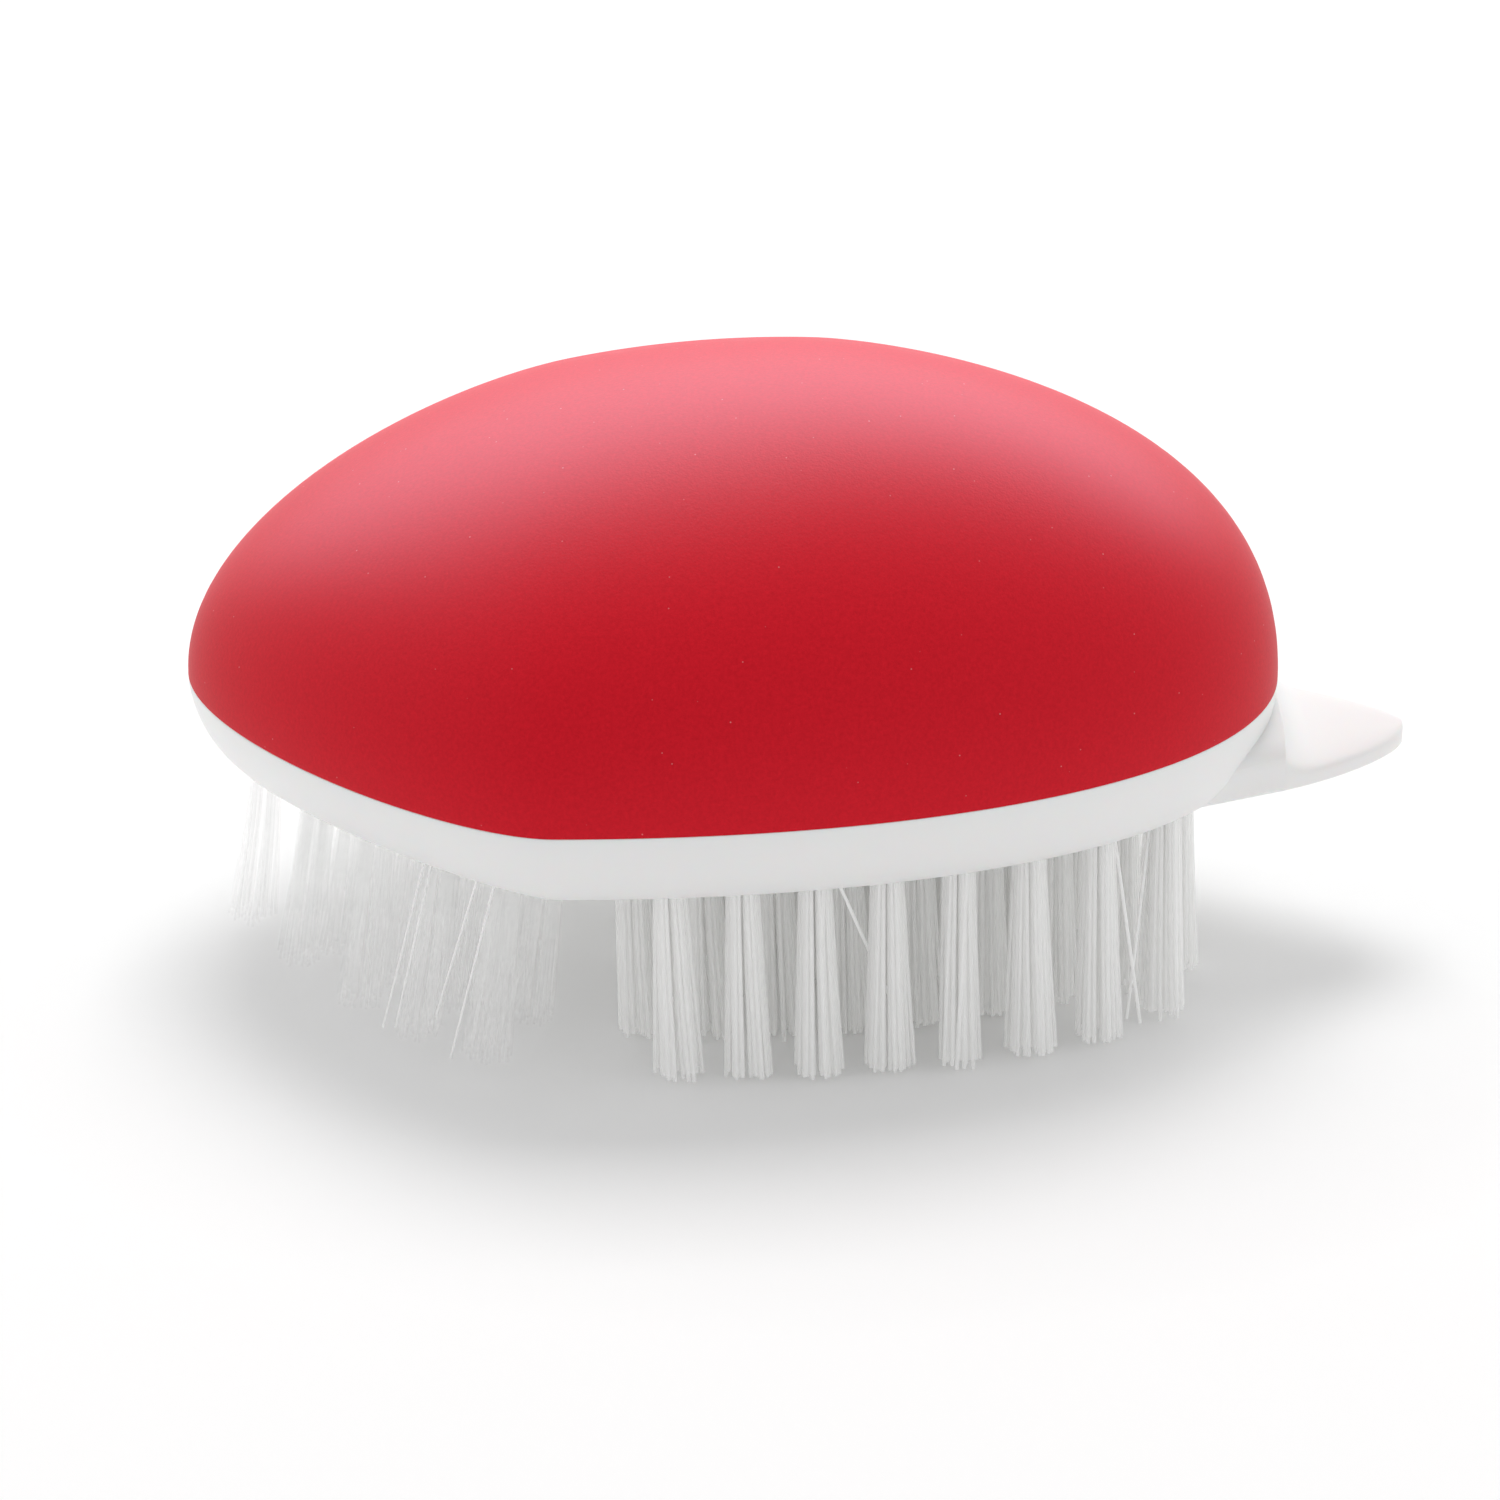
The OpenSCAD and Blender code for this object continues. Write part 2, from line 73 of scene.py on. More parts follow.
# The beak, in millimetres
BEAK_ANCHOR = 13
BEAK_ROOT_W, BEAK_MID_W, BEAK_TIP_W = 17.8, 12.2, 5.4
BEAK_TOP_H, BEAK_UNDER_H, BEAK_TIP_LIFT = 3.1, 0.2, 0.9
BEAK_FILLET_R = 3.6
BEAK_SQUARENESS, BEAK_SHOULDER, BEAK_FLAT = 0.6, 0.5, 0.92

# Tuft holes, and the room that the staple keeps between a tuft's two bundles, in millimetres
HOLE_D, HOLE_DEPTH = 3.6, 5.5
STAPLE_ROOM = 0.3

# Filaments of a tuft: size, lengths and scatter in millimetres, the shares of strays and of long ones,
# and the most that a filament ends short of the ground
TUFT_STYLES = {
    "stiff": dict(size=0.42, sides=6, segments=3, splay=0.6, scatter=0.1, clumps=3, parting=0.18,
                  strays=0.01, stray_reach=1.2, short=0.6, long=0.06, uneven=0.3, bow=0.0),
    "soft": dict(size=0.3, sides=5, segments=3, splay=0.5, scatter=0.2, clumps=3, parting=0.2,
                 strays=0.01, stray_reach=1.0, short=0.5, long=0.1, uneven=0.5, bow=0.0),
}
MOST_SHORT = 2.4

# Bristles that have left their tufts: the row, the hole, and the tip, in millimetres from the body's middle
STRAY_SIZE = {"stiff": 0.36, "soft": 0.22}
STRAYS = [
    ("stiff_tufts_outer_row", (9.9, -29.4), (18.4, -25.8, 0.5)),
    ("stiff_tufts_outer_row", (38.9, -17.4), (42.4, -21.4, 0.5)),
    ("stiff_tufts_outer_row", (43.6, -13.2), (41.0, -21.0, 0.8)),
    ("soft_tufts_outer_row", (-23.6, -30.6), (-28.9, -29.9, 1.2)),
    ("soft_tufts_outer_row", (-25.4, -30.4), (-30.6, -25.2, 3.5)),
    ("soft_tufts_outer_row", (-30.9, -25.4), (-36.2, -24.0, 1.5)),
    ("soft_tufts_outer_row", (-30.2, -25.8), (-34.9, -24.0, 1.5)),
]

# How opaque a filament is. Many in a row close a tuft, and a loose one shows by itself.
NYLON_ALPHA = {"stiff": 0.6, "soft": 0.04, "loose": 1.0}

# The photo's camera: lengths in millimetres, with the scale in pixels per millimetre at the parting plane
PHOTO_PX = 1500
SENSOR_MM = 36
CAMERA_ELEVATION = 25.0
CAMERA_DISTANCE = 500.0
PX_PER_MM = 9.489
AXIS_PX = (732.7, 666.2)

# Light: the world's level, what its sides and its band low at the back add, and how the band narrows
WORLD_LIGHT, WORLD_SIDES, WORLD_BACK = 0.53, 0.45, 5.0
WORLD_BAND_FALL = 6.0
ROOM_FRONT = 0.1
SOFTBOX_PLACE, SOFTBOX_SIZE, SOFTBOX_POWER = (0, 330, 950), 500, 4.2
PANEL_ELEVATION, PANEL_DISTANCE, PANEL_POWER = 46, 1000, 52
PANEL_SIZE = (2400, 800)
PANEL_COLOUR = (0.58, 0.88, 1)

# The floor's painted shade near the brush: its tone there, and the metres over which it goes to white
FLOOR_PAINTED_SHADE_TONE = 0.92
FLOOR_PAINTED_SHADE_FADE = (0.045, 0.075)
FLOOR_PAINTED_SHADE_OVAL, FLOOR_PAINTED_SHADE_SHIFT = 0.8, 0.005


# Curves of the body

def cubic(p0, p1, p2, p3, t):
    """Points of a cubic curve at the parameters t."""
    p = [np.array(q, float)[None, :] for q in (p0, p1, p2, p3)]
    t = np.asarray(t, float)[:, None]
    return (1 - t) ** 3 * p[0] + 3 * (1 - t) ** 2 * t * p[1] + 3 * (1 - t) * t * t * p[2] + t ** 3 * p[3]


def hump(peak_x, peak, tail_rise, tail_reach, nose_reach, nose_rise, insets, steps):
    """A smooth hump over the body's length, drawn in at the tail, the peak and the nose."""
    in_tail, in_peak, in_nose = insets
    x0, x1, top = in_tail - HALF_L, HALF_L - in_nose, peak - in_peak
    v = top / peak
    a = (peak_x - x0) / (peak_x + HALF_L)
    b = (x1 - peak_x) / (HALF_L - peak_x)
    t = np.linspace(0, 1, steps + 1)
    tail = cubic((x0, 0), (x0, tail_rise * v), (peak_x - tail_reach * a, top), (peak_x, top), t)
    nose = cubic((peak_x, top), (peak_x + nose_reach * b, top), (x1, nose_rise * v), (x1, 0), t)
    return np.vstack([tail[:-1], nose])


def plan(insets, steps=48):
    """Half of the plan outline, from the tail to the nose."""
    return hump(WIDEST_X, HALF_W, TAIL_BLUNTNESS, TAIL_FULLNESS, NOSE_FULLNESS, NOSE_BLUNTNESS,
                insets, steps)


def spine(inset, steps=400):
    """The dome's height along the centre line."""
    return hump(CROWN_X, DOME_H, TAIL_RISE, CROWN_TAIL_REACH, CROWN_NOSE_REACH, NOSE_RISE,
                (inset, inset, inset), steps)


def closed(half):
    """The whole outline, from the tail along +Y to the nose and back."""
    return np.vstack([half, half[-2:0:-1] * [1, -1]])


def lookup(x, table):
    return np.interp(x, table[:, 0], table[:, 1])


# Meshes

def new_object(name, verts, faces, smooth=True):
    """An object from points in millimetres, relative to the row frame."""
    mesh = bpy.data.meshes.new(name)
    mesh.from_pydata([tuple(v * MM) for v in np.asarray(verts, float)], [], [tuple(f) for f in faces])
    mesh.validate()
    if smooth:
        mesh.shade_smooth()
    obj = bpy.data.objects.new(name, mesh)
    bpy.context.scene.collection.objects.link(obj)
    return obj


def ring_faces(rings, count, start=0, flip=False):
    """Quads between rings of count points each, stored one after another."""
    faces = []
    for i in range(rings - 1):
        a, b = start + i * count, start + (i + 1) * count
        for j in range(count):
            k = (j + 1) % count
            quad = (a + j, a + k, b + k, b + j)
            faces.append(quad[::-1] if flip else quad)
    return faces


def recalculated(obj):
    """The object with its faces' normals pointing outwards."""
    bm = bmesh.new()
    bm.from_mesh(obj.data)
    bmesh.ops.recalc_face_normals(bm, faces=bm.faces)
    bm.to_mesh(obj.data)
    bm.free()
    return obj


def apply_modifiers(obj):
    depsgraph = bpy.context.evaluated_depsgraph_get()
    mesh = bpy.data.meshes.new_from_object(obj.evaluated_get(depsgraph))
    obj.modifiers.clear()
    obj.data = mesh


def boolean(obj, other, operation):
    """Joins or cuts obj with other, which is then removed."""
    mod = obj.modifiers.new("cut", "BOOLEAN")
    mod.operation = operation
    mod.solver = "EXACT"
    mod.object = other
    apply_modifiers(obj)
    bpy.data.objects.remove(other)


# Grip cover

def dome_height(x, y, side, top):
    """Height of the dome over a point of the plan."""
    w = np.maximum(lookup(x, side), 1e-6)
    return lookup(x, top) * np.sqrt(np.clip(1 - (y / w) ** 2, 0, 1))


def dome_rings(inset, levels, arcs, edge_r):
    """Rings of a dome from its foot to near its crown: first at the given levels, then on an arc."""
    side = plan((inset,) * 3, 400)
    top = spine(inset)
    rim = closed(plan((inset,) * 3))
    centre = np.array([CROWN_X / 2, 0])
    spokes = rim - centre
    rings = []
    last = np.ones(len(rim))
    for z in levels:
        low, high = np.full(len(rim), 0.5), np.ones(len(rim))
        for _ in range(40):
            mid = (low + high) / 2
            p = centre + spokes * mid[:, None]
            above = dome_height(p[:, 0], p[:, 1], side, top) > z
            low, high = np.where(above, mid, low), np.where(above, high, mid)
        last = low if z > 0 else np.ones(len(rim))
        p = centre + spokes * last[:, None]
        round_in = edge_r - math.sqrt(max(0, edge_r ** 2 - (edge_r - z) ** 2)) if z < edge_r else 0
        away = spokes / np.linalg.norm(spokes, axis=1)[:, None]
        p = p - away * round_in
        rings.append(np.column_stack([p, np.full(len(rim), z)]))
    start = np.arccos(last)
    for k in range(1, arcs):
        s = np.cos(start + (math.pi / 2 - start) * k / arcs)
        p = centre + spokes * s[:, None]
        rings.append(np.column_stack([p, dome_height(p[:, 0], p[:, 1], side, top)]))
    crown = np.array([[*centre, dome_height(centre[:1], centre[1:], side, top)[0]]])
    return rings, crown


def make_grip_cover():
    """The soft cover: a closed shell with a rounded lower edge."""
    levels = [EDGE_R * k for k in (0, 0.1, 0.3, 0.6, 1)]
    outer, crown = dome_rings(0, levels, 64, EDGE_R)
    inner, inner_crown = dome_rings(COVER_T, [0], 24, 0)
    count = len(outer[0])
    inner_start = len(outer) * count + 1
    verts = np.vstack(outer + [crown] + inner + [inner_crown]) + [BODY_X, 0, PART_Z]
    faces = ring_faces(len(outer), count)
    top = (len(outer) - 1) * count
    faces += [(top + j, top + (j + 1) % count, len(outer) * count) for j in range(count)]
    faces += ring_faces(len(inner), count, inner_start, flip=True)
    top = inner_start + (len(inner) - 1) * count
    faces += [(top + (j + 1) % count, top + j, inner_start + len(inner) * count) for j in range(count)]
    faces += [(j, inner_start + j, inner_start + (j + 1) % count, (j + 1) % count) for j in range(count)]
    cover = recalculated(new_object("soft_grip_cover", verts, faces))
    cover.data.materials.append(soft_rubber())
    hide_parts("grip_cover")
    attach(cover, "root")
    return cover


# Brush block

def rim_ring(s, z):
    """A ring of the rim, drawn in by the share s. The tail grows less full on the way down."""
    bluntness = TAIL_BLUNTNESS * (1 - (1 - UNDER_BLUNTNESS) * s)
    fullness = TAIL_FULLNESS * (1 - (1 - UNDER_FULLNESS) * s)
    outline = closed(hump(WIDEST_X, HALF_W, bluntness, fullness, NOSE_FULLNESS, NOSE_BLUNTNESS,
                          RIM_IN * s, 48))
    return np.column_stack([outline, np.full(len(outline), z)])


def rim_rings():
    """Rings from the top face's edge, over a small rounding, down the round side to the underside."""
    rings = []
    edge = EDGE_R / RIM_IN[1]
    for a in (90, 60, 30):
        r = math.radians(a)
        rings.append(rim_ring(edge * (1 - math.cos(r)), RIM_H - EDGE_R * (1 - math.sin(r))))
    steps = 22
    for j in range(steps + 1):
        a = math.pi / 2 * j / steps
        z = (RIM_H - EDGE_R) * (1 - math.sin(a) ** RIM_STRAIGHTNESS)
        rings.append(rim_ring(1 - max(math.cos(a), 0) ** RIM_STRAIGHTNESS, z))
    return rings


def beak_sections():
    """Sections of the beak from inside the block to its blunt tip."""
    x0, x1 = HALF_L - BEAK_ANCHOR, HALF_L + BEAK_REACH
    fillet_x = HALF_L + BEAK_FILLET_R
    steps = 9
    curve_x1 = fillet_x + (x1 - fillet_x) / math.sin(math.radians(90 * steps / (steps + 1)))
    outline = cubic((x0, BEAK_ROOT_W), (HALF_L, BEAK_MID_W), (curve_x1, BEAK_TIP_W), (curve_x1, 0),
                    np.linspace(0, 1, 200))
    fillet = [HALF_L + BEAK_FILLET_R * (1 - math.cos(math.radians(a))) for a in range(0, 91, 9)]
    last = math.radians(90 * steps / (steps + 1))
    point = [fillet_x + (curve_x1 - fillet_x) * math.sin(last * i / 30) for i in range(1, 31)]
    sections = []
    for x in [x0] + fillet + point:
        w = lookup(x, outline)
        d = min(max(fillet_x - x, 0), BEAK_FILLET_R)
        top = BEAK_TOP_H + BEAK_FILLET_R - math.sqrt(BEAK_FILLET_R ** 2 - d ** 2)
        low = BEAK_UNDER_H + BEAK_TIP_LIFT * max(0, (x - HALF_L) / BEAK_REACH) ** 2
        a = np.radians(np.linspace(0, 180, 33))
        c = np.sign(np.cos(a)) * np.abs(np.cos(a)) ** BEAK_SQUARENESS
        s = np.sin(a).clip(0) ** BEAK_SQUARENESS
        rise = BEAK_SHOULDER + (1 - BEAK_SHOULDER) * s
        section = [(x, -w * c[i], low + (top - low) * rise[i]) for i in range(len(a))]
        section += [(x, w * 0.975, low + (top - low) * 0.1), (x, w * BEAK_FLAT, low)]
        section += [(x, -w * BEAK_FLAT, low), (x, -w * 0.975, low + (top - low) * 0.1)]
        sections.append(np.array(section))
    return sections


def loft(name, rings):
    """A closed loft through rings of points."""
    count = len(rings[0])
    verts = np.vstack(rings) + [BODY_X, 0, BLOCK_Z]
    faces = ring_faces(len(rings), count)
    faces.append(list(range(count))[::-1])
    faces.append([(len(rings) - 1) * count + j for j in range(count)])
    return recalculated(new_object(name, verts, faces))


def hole_cutter(places):
    """One mesh with a cylinder for each tuft hole."""
    sides = 32
    verts, faces = [], []
    for x, y in places:
        start = len(verts)
        for z in (-1, HOLE_DEPTH):
            for i in range(sides):
                a = 2 * math.pi * i / sides
                verts.append((x + HOLE_D / 2 * math.cos(a), y + HOLE_D / 2 * math.sin(a), BLOCK_Z + z))
        faces += ring_faces(2, sides, start)
        faces.append([start + i for i in range(sides)][::-1])
        faces.append([start + sides + i for i in range(sides)])
    return recalculated(new_object("holes", verts, faces, smooth=False))


def make_block(places):
    """The white block: its rim, its beak and a blind hole for each tuft."""
    block = loft("white_block", rim_rings()[::-1])
    boolean(block, loft("beak", beak_sections()), "UNION")
    boolean(block, hole_cutter(places), "DIFFERENCE")
    block.data.shade_smooth()
    block.data.set_sharp_from_angle(angle=math.radians(28))
    block.data.materials.clear()
    block.data.materials.append(white_plastic())
    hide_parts("brush_block")
    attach(block, "root")


# Tufts

def tuft_places(node):
    """For each tuft of a CAD row: the middle of its root and of its tips, in millimetres."""
    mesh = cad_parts[node].data
    points = np.array([v.co for v in mesh.vertices]) / MM
    points, index = np.unique(points.round(3), axis=0, return_inverse=True)
    parent = list(range(len(points)))

    def find(i):
        while parent[i] != i:
            parent[i] = parent[parent[i]]
            i = parent[i]
        return i

    for edge in mesh.edges:
        a, b = (find(index[v]) for v in edge.vertices)
        parent[a] = b
    groups = {}
    for i in range(len(points)):
        groups.setdefault(find(i), []).append(i)
    tufts = []
    for members in groups.values():
        p = points[members]
        root = p[p[:, 2] > p[:, 2].max() - 0.01].mean(0)
        low = p[:, 2].min()
        tip = p[p[:, 2] < low + 1].mean(0)
        tufts.append((root[:2], np.array([*tip[:2], low])))
    return sorted(tufts, key=lambda t: tuple(t[0]))


def packed_spots(radius, size, rng):
    """Spots for filaments in a round hole, in two bundles on either side of the staple."""
    spots = []
    step = size * 1.06
    rows = int(radius / (step * 0.87)) + 1
    for i in range(-rows, rows + 1):
        y = i * step * 0.87
        for j in range(-rows - 1, rows + 2):
            x = (j + 0.5 * (i % 2)) * step
            x += math.copysign(STAPLE_ROOM / 2, x) if x else STAPLE_ROOM / 2
            if math.hypot(x, y) < radius - size / 2:
                spots.append((x, y))
    spots = np.array(spots)
    return spots + rng.normal(0, 0.03 * size, spots.shape)


def filament(path, size, sides):
    """A round filament along a path, with a cut end."""
    verts = []
    axis = path[-1] - path[0]
    axis /= np.linalg.norm(axis)
    u = np.cross(axis, (0, 1, 0))
    u /= np.linalg.norm(u)
    v = np.cross(axis, u)
    r = size / 2
    for p in path:
        for i in range(sides):
            a = 2 * math.pi * i / sides
            verts.append(p + r * (u * math.cos(a) + v * math.sin(a)))
    faces = ring_faces(len(path), sides)
    faces.append(tuple((len(path) - 1) * sides + i for i in range(sides)))
    faces.append(tuple(range(sides))[::-1])
    return verts, faces


def tuft_paths(root, tip, style, rng):
    """Paths of one tuft's filaments, which leave the hole in a few clumps and fan out."""
    lean = tip[:2] - root
    length = BLOCK_Z - tip[2]
    centres = rng.uniform(-HOLE_D / 2, HOLE_D / 2, (style["clumps"], 2))
    parting = rng.normal(0, style["parting"], (style["clumps"], 2))
    paths = []
    for spot in packed_spots(HOLE_D / 2 - 0.05, style["size"], rng):
        clump = parting[np.argmin(np.linalg.norm(centres - spot, axis=1))]
        shift = lean + clump + spot * style["splay"] + rng.normal(0, style["scatter"], 2)
        if rng.random() < style["strays"]:
            shift = shift + rng.normal(0, style["stray_reach"], 2)
        short = 0 if rng.random() < style["long"] else style["short"]
        drop = length - min(short + abs(rng.normal(0, style["uneven"])), MOST_SHORT)
        bow = rng.normal(0, style["bow"], 2)
        path = [np.array([*(root + spot), BLOCK_Z + HOLE_DEPTH * 0.5])]
        for t in np.linspace(0, 1, style["segments"]):
            side = root + spot + shift * t ** 1.15 + bow * math.sin(math.pi * t)
            path.append(np.array([*side, BLOCK_Z - drop * t]))
        paths.append(np.array(path))
    return paths


def stray_path(start, end):
    """A straight filament from its hole to a tip, both given from the body's middle."""
    top = np.array([start[0] + BODY_X, start[1], BLOCK_Z + 1])
    tip = np.array([end[0] + BODY_X, end[1], end[2]])
    return np.array([top + (tip - top) * t for t in np.linspace(0, 1, 4)])


def make_tufts(node, kind, seed):
    """One row of tufts as filaments, and the bristles that have left it."""
    rng = np.random.default_rng(seed)
    style = TUFT_STYLES[kind]
    paths = [p for root, tip in tuft_places(node) for p in tuft_paths(root, tip, style, rng)]
    strays = [stray_path(start, end) for row, start, end in STRAYS if row == node]
    sizes = [style["size"]] * len(paths) + [STRAY_SIZE[kind]] * len(strays)
    verts, faces, loose = [], [], []
    for number, (path, size) in enumerate(zip(paths + strays, sizes)):
        v, f = filament(path, size, style["sides"])
        faces += [tuple(i + len(verts) for i in face) for face in f]
        loose += [number >= len(paths)] * len(f)
        verts += v
    tufts = new_object(node + "_filaments", verts, faces, smooth=False)
    tufts.data.materials.append(nylon(kind))
    tufts.data.materials.append(nylon("loose"))
    tufts.data.polygons.foreach_set("material_index", np.array(loose, dtype=np.int32))
    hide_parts(node)
    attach(tufts, "root")


# Materials

def material(name):
    """A new material with its node tree, its links and its main shader."""
    mat = bpy.data.materials.new(name)
    mat.use_nodes = True
    nodes, links = mat.node_tree.nodes, mat.node_tree.links
    return mat, nodes, links, nodes["Principled BSDF"]


def noise(nodes, links, coords, scale, detail=2.0, roughness=0.5):
    node = nodes.new("ShaderNodeTexNoise")
    node.inputs["Scale"].default_value = scale
    node.inputs["Detail"].default_value = detail
    node.inputs["Roughness"].default_value = roughness
    links.new(coords.outputs["Object"], node.inputs["Vector"])
    return node


def ramp(nodes, links, source, stops):
    node = nodes.new("ShaderNodeValToRGB")
    links.new(source, node.inputs["Fac"])
    elements = node.color_ramp.elements
    while len(elements) < len(stops):
        elements.new(0.5)
    for element, (place, colour) in zip(elements, stops):
        element.position = place
        element.color = (*colour, 1) if isinstance(colour, tuple) else (colour, colour, colour, 1)
    return node


def bump(nodes, links, height, strength, distance, shader):
    node = nodes.new("ShaderNodeBump")
    node.inputs["Strength"].default_value = strength
    node.inputs["Distance"].default_value = distance
    links.new(height, node.inputs["Height"])
    links.new(node.outputs["Normal"], shader.inputs["Normal"])
    return node


def mix_colour(nodes, links, factor, a, b):
    node = nodes.new("ShaderNodeMix")
    node.data_type = "RGBA"
    links.new(factor, node.inputs["Factor"])
    for socket, value in ((node.inputs["A"], a), (node.inputs["B"], b)):
        if isinstance(value, tuple):
            socket.default_value = (*value, 1)
        else:
            links.new(value, socket)
    return node


def soft_rubber():
    """Soft-touch red rubber: a dull gloss, fine grain, slight mottling and a few specks of dust."""
    mat, nodes, links, shader = material("soft_touch_red")
    coords = nodes.new("ShaderNodeTexCoord")
    mottle = noise(nodes, links, coords, 2600, 3, 0.7)
    red = ramp(nodes, links, mottle.outputs["Fac"],
               [(0.3, (0.57, 0.0034, 0.0125)), (0.7, (0.67, 0.006, 0.017))])
    cells = nodes.new("ShaderNodeTexVoronoi")
    cells.inputs["Scale"].default_value = 470
    links.new(coords.outputs["Object"], cells.inputs["Vector"])
    speck = ramp(nodes, links, cells.outputs["Distance"], [(0.0, 0.5), (0.05, 0.0)])
    dusty = mix_colour(nodes, links, speck.outputs["Color"], red.outputs["Color"], (0.85, 0.55, 0.55))
    links.new(dusty.outputs["Result"], shader.inputs["Base Color"])
    grain = noise(nodes, links, coords, 4200, 2, 0.6)
    bump(nodes, links, grain.outputs["Fac"], 0.25, 0.00006, shader)
    shader.inputs["Roughness"].default_value = 0.5
    shader.inputs["Specular IOR Level"].default_value = 0.16
    shader.inputs["Specular Tint"].default_value = (1, 0.85, 1, 1)
    return mat


def white_plastic():
    """White moulded plastic: satin, with a faint moulding texture."""
    mat, nodes, links, shader = material("white_moulded_plastic")
    coords = nodes.new("ShaderNodeTexCoord")
    clouds = noise(nodes, links, coords, 60, 2)
    white = ramp(nodes, links, clouds.outputs["Fac"],
                 [(0.3, (0.865, 0.865, 0.861)), (0.7, (0.875, 0.875, 0.871))])
    links.new(white.outputs["Color"], shader.inputs["Base Color"])
    skin = noise(nodes, links, coords, 900, 3)
    bump(nodes, links, skin.outputs["Fac"], 0.05, 0.00005, shader)
    shader.inputs["Roughness"].default_value = 0.38
    shader.inputs["Specular IOR Level"].default_value = 0.3
    shader.inputs["Subsurface Weight"].default_value = 0.15
    shader.inputs["Subsurface Scale"].default_value = 0.002
    return mat


def nylon(kind):
    """Drawn nylon filament: milky for stiff tufts, clear for soft ones and solid where it is loose."""
    if kind in NYLONS:
        return NYLONS[kind]
    mat, nodes, links, shader = material(kind + "_nylon")
    coords = nodes.new("ShaderNodeTexCoord")
    streaks = noise(nodes, links, coords, 700, 1)
    base = (0.998, 0.998, 0.996)
    tone = ramp(nodes, links, streaks.outputs["Fac"],
                [(0.3, tuple(c * 0.995 for c in base)), (0.7, base)])
    links.new(tone.outputs["Color"], shader.inputs["Base Color"])
    shader.inputs["Roughness"].default_value = 0.3
    shader.inputs["Specular IOR Level"].default_value = 0.1
    shader.inputs["Alpha"].default_value = NYLON_ALPHA[kind]
    NYLONS[kind] = mat
    return mat


NYLONS = {}


def plain(name, colour, roughness, metallic=0.0, scale=400):
    """A simple moulded or drawn surface with slight variation."""
    mat, nodes, links, shader = material(name)
    coords = nodes.new("ShaderNodeTexCoord")
    wear = noise(nodes, links, coords, scale, 3)
    tone = ramp(nodes, links, wear.outputs["Fac"], [(0.3, tuple(c * 0.92 for c in colour)), (0.7, colour)])
    links.new(tone.outputs["Color"], shader.inputs["Base Color"])
    bump(nodes, links, wear.outputs["Fac"], 0.1, 0.00005, shader)
    shader.inputs["Roughness"].default_value = roughness
    shader.inputs["Metallic"].default_value = metallic
    return mat


def dress_hidden_nodes():
    """The inner shell and the staples keep their CAD solids."""
    shell = plain("shell_plastic", (0.62, 0.62, 0.60), 0.5)
    wire = plain("staple_wire", (0.62, 0.60, 0.55), 0.32, metallic=1.0, scale=1500)
    for name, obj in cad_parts.items():
        if name == "inner_shell" or "staples" in name:
            obj.data.materials.clear()
            obj.data.materials.append(shell if name == "inner_shell" else wire)


# Studio

def maths(nodes, links, operation, *values):
    """One sum of numbers or sockets."""
    node = nodes.new("ShaderNodeMath")
    node.operation = operation
    for place, value in enumerate(values):
        if isinstance(value, (int, float)):
            node.inputs[place].default_value = value
        else:
            links.new(value, node.inputs[place])
    return node.outputs[0]


def any_of(nodes, links, *factors):
    """The largest of some factors."""
    largest = factors[0]
    for factor in factors[1:]:
        largest = maths(nodes, links, "MAXIMUM", largest, factor)
    return largest


def seen_directly(nodes, links, path, lit, seen):
    """Shows seen to camera, glossy and transmission rays, and lit to all others."""
    names = ("Is Camera Ray", "Is Glossy Ray", "Is Transmission Ray")
    mix = nodes.new("ShaderNodeMixShader")
    links.new(any_of(nodes, links, *(path.outputs[n] for n in names)), mix.inputs[0])
    links.new(lit, mix.inputs[1])
    links.new(seen, mix.inputs[2])
    return mix


def make_floor():
    """A pale floor that keeps the brush's shadow; its colour seen directly carries painted shade near the
    brush and goes to white around it.
    """
    size = 3000
    floor = new_object("floor", [(-size, -size, 0), (size, -size, 0), (size, size, 0), (-size, size, 0)],
                       [(0, 1, 2, 3)], smooth=False)
    mat = bpy.data.materials.new("floor")
    mat.use_nodes = True
    nodes, links = mat.node_tree.nodes, mat.node_tree.links
    nodes.clear()
    lit = nodes.new("ShaderNodeBsdfDiffuse")
    lit.inputs["Color"].default_value = (1, 1, 1, 1)
    seen = nodes.new("ShaderNodeBsdfDiffuse")
    coords = nodes.new("ShaderNodeTexCoord")
    oval = nodes.new("ShaderNodeMapping")
    oval.inputs["Location"].default_value = (0, FLOOR_PAINTED_SHADE_SHIFT, 0)
    oval.inputs["Scale"].default_value = (FLOOR_PAINTED_SHADE_OVAL, 1, 1)
    links.new(coords.outputs["Object"], oval.inputs["Vector"])
    away = nodes.new("ShaderNodeVectorMath")
    away.operation = "LENGTH"
    links.new(oval.outputs[0], away.inputs[0])
    # Painted shade: the colour seen directly is darker in an oval near the brush and goes to white further
    # out.
    shade = nodes.new("ShaderNodeMapRange")
    shade.inputs["From Min"].default_value = FLOOR_PAINTED_SHADE_FADE[0]
    shade.inputs["From Max"].default_value = FLOOR_PAINTED_SHADE_FADE[1]
    shade.inputs["To Min"].default_value = FLOOR_PAINTED_SHADE_TONE
    links.new(away.outputs["Value"], shade.inputs["Value"])
    links.new(shade.outputs[0], seen.inputs["Color"])
    out = nodes.new("ShaderNodeOutputMaterial")
    mix = seen_directly(nodes, links, nodes.new("ShaderNodeLightPath"), lit.outputs[0], seen.outputs[0])
    links.new(mix.outputs[0], out.inputs["Surface"])
    floor.data.materials.append(mat)


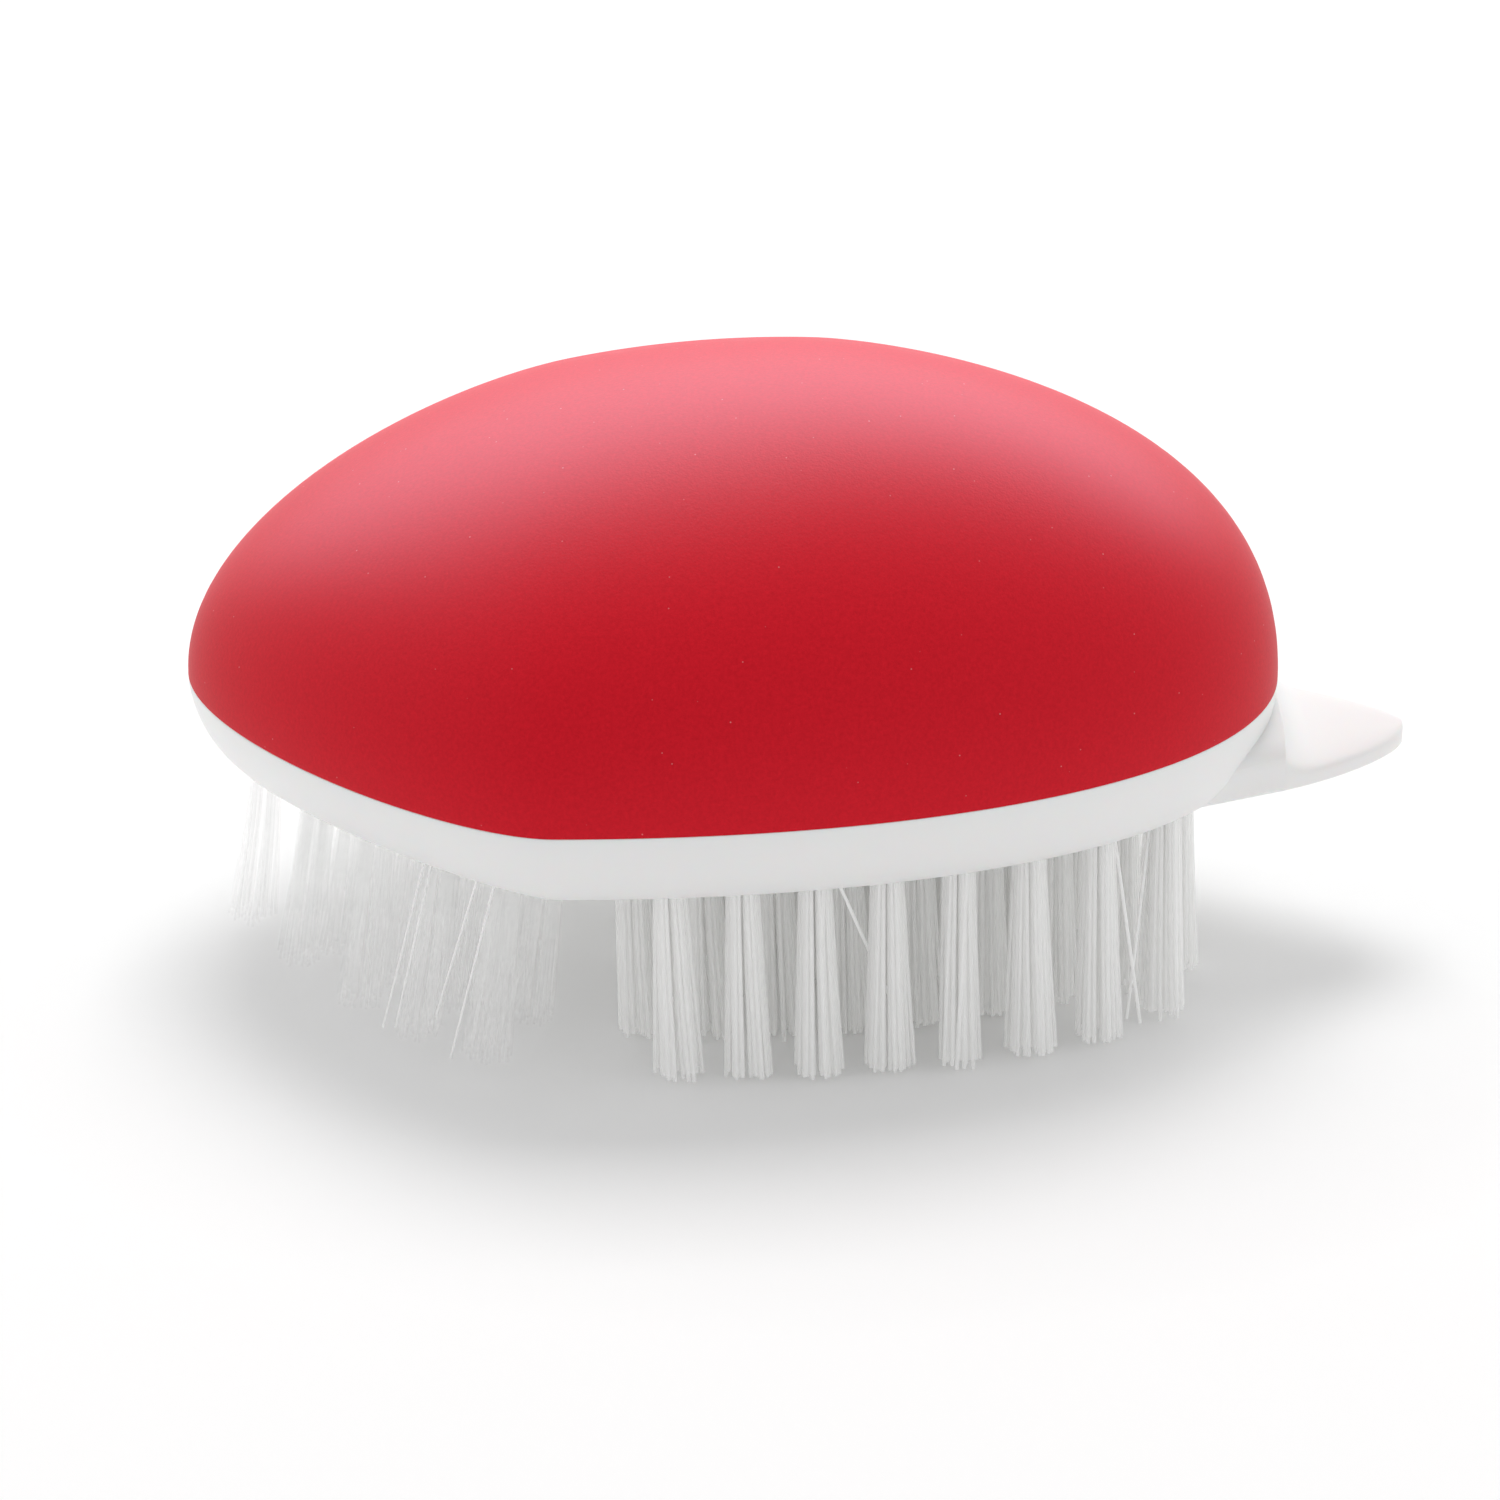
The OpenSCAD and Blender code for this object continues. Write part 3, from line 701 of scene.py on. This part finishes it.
def make_world():
    """White studio: brightest low behind the brush, and a darker room in front of it in reflections."""
    world = bpy.data.worlds.new("studio")
    bpy.context.scene.world = world
    world.use_nodes = True
    nodes, links = world.node_tree.nodes, world.node_tree.links
    nodes.clear()
    lit = nodes.new("ShaderNodeBackground")
    lit.inputs["Color"].default_value = (1, 1, 1, 1)
    seen = nodes.new("ShaderNodeBackground")
    seen.inputs["Color"].default_value = (1, 1, 1, 1)
    path = nodes.new("ShaderNodeLightPath")
    coords = nodes.new("ShaderNodeTexCoord")
    split = nodes.new("ShaderNodeSeparateXYZ")
    links.new(coords.outputs["Generated"], split.inputs[0])
    side = maths(nodes, links, "POWER", split.outputs["X"], 2.0)
    side = maths(nodes, links, "MULTIPLY", side, WORLD_SIDES)
    back = maths(nodes, links, "POWER", maths(nodes, links, "MAXIMUM", split.outputs["Y"], 0.0), 2.0)
    low = maths(nodes, links, "SUBTRACT", 1.0, maths(nodes, links, "MAXIMUM", split.outputs["Z"], 0.0))
    band = maths(nodes, links, "MULTIPLY", back, maths(nodes, links, "POWER", low, WORLD_BAND_FALL))
    band = maths(nodes, links, "MULTIPLY", band, WORLD_BACK)
    light = maths(nodes, links, "ADD", WORLD_LIGHT, maths(nodes, links, "ADD", side, band))
    links.new(light, lit.inputs["Strength"])
    room = nodes.new("ShaderNodeMapRange")
    room.inputs["From Min"].default_value = -0.6
    room.inputs["From Max"].default_value = 0.2
    room.inputs["To Min"].default_value = ROOM_FRONT
    links.new(split.outputs["Y"], room.inputs["Value"])
    white = any_of(nodes, links, room.outputs[0], path.outputs["Is Camera Ray"],
                   path.outputs["Is Transmission Ray"])
    links.new(white, seen.inputs["Strength"])
    out = nodes.new("ShaderNodeOutputWorld")
    mix = seen_directly(nodes, links, path, lit.outputs[0], seen.outputs[0])
    links.new(mix.outputs[0], out.inputs["Surface"])


def area_light(name, place, target, width, depth, power):
    """A soft light at a place in millimetres, aimed at a target."""
    light = bpy.data.lights.new(name, "AREA")
    light.shape = "RECTANGLE"
    light.size = width * MM
    light.size_y = depth * MM
    light.energy = power
    obj = bpy.data.objects.new(name, light)
    bpy.context.scene.collection.objects.link(obj)
    obj.location = Vector(place) * MM
    obj.rotation_euler = (Vector(target) - Vector(place)).to_track_quat("-Z", "Y").to_euler()
    return obj


def make_panel(cover):
    """A wide panel behind the brush, which only shows as a pale gloss on the cover's top."""
    e = math.radians(PANEL_ELEVATION)
    place = (0, PANEL_DISTANCE * math.cos(e), PANEL_DISTANCE * math.sin(e))
    panel = area_light("panel", place, (0, 0, 40), *PANEL_SIZE, PANEL_POWER)
    panel.data.color = PANEL_COLOUR
    panel.visible_diffuse = False
    receivers = bpy.data.collections.new("panel_receivers")
    receivers.objects.link(cover)
    panel.light_linking.receiver_collection = receivers


def make_camera():
    """The photo's camera, which looks at the middle of the parting plane."""
    data = bpy.data.cameras.new("camera")
    camera = bpy.data.objects.new("camera", data)
    bpy.context.scene.collection.objects.link(camera)
    e = math.radians(CAMERA_ELEVATION)
    target = Vector((BODY_X, 0, PART_Z))
    place = target + CAMERA_DISTANCE * Vector((0, -math.cos(e), math.sin(e)))
    camera.location = place * MM
    camera.rotation_euler = (target - place).to_track_quat("-Z", "Y").to_euler()
    data.sensor_width = SENSOR_MM
    data.lens = SENSOR_MM * PX_PER_MM * CAMERA_DISTANCE / PHOTO_PX
    data.shift_x = (PHOTO_PX / 2 - AXIS_PX[0]) / PHOTO_PX
    data.shift_y = (AXIS_PX[1] - PHOTO_PX / 2) / PHOTO_PX
    data.clip_start = 0.01
    data.clip_end = 20
    bpy.context.scene.camera = camera


# Build

make_camera()
make_world()
make_floor()
area_light("softbox", SOFTBOX_PLACE, (0, 0, 30), SOFTBOX_SIZE, SOFTBOX_SIZE, SOFTBOX_POWER)

tuft_nodes = [n for n in sorted(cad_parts) if "tufts" in n]
hole_places = []
for number, node_name in enumerate(tuft_nodes):
    hole_places += [tuple(root) for root, tip in tuft_places(node_name)]
    make_tufts(node_name, node_name.split("_")[0], 100 + number)
make_panel(make_grip_cover())
make_block(hole_places)
dress_hidden_nodes()

scene = bpy.context.scene
scene.view_settings.view_transform = "Standard"
scene.cycles.max_bounces = 64
scene.cycles.diffuse_bounces = 60
scene.cycles.glossy_bounces = 16
scene.cycles.transparent_max_bounces = 96
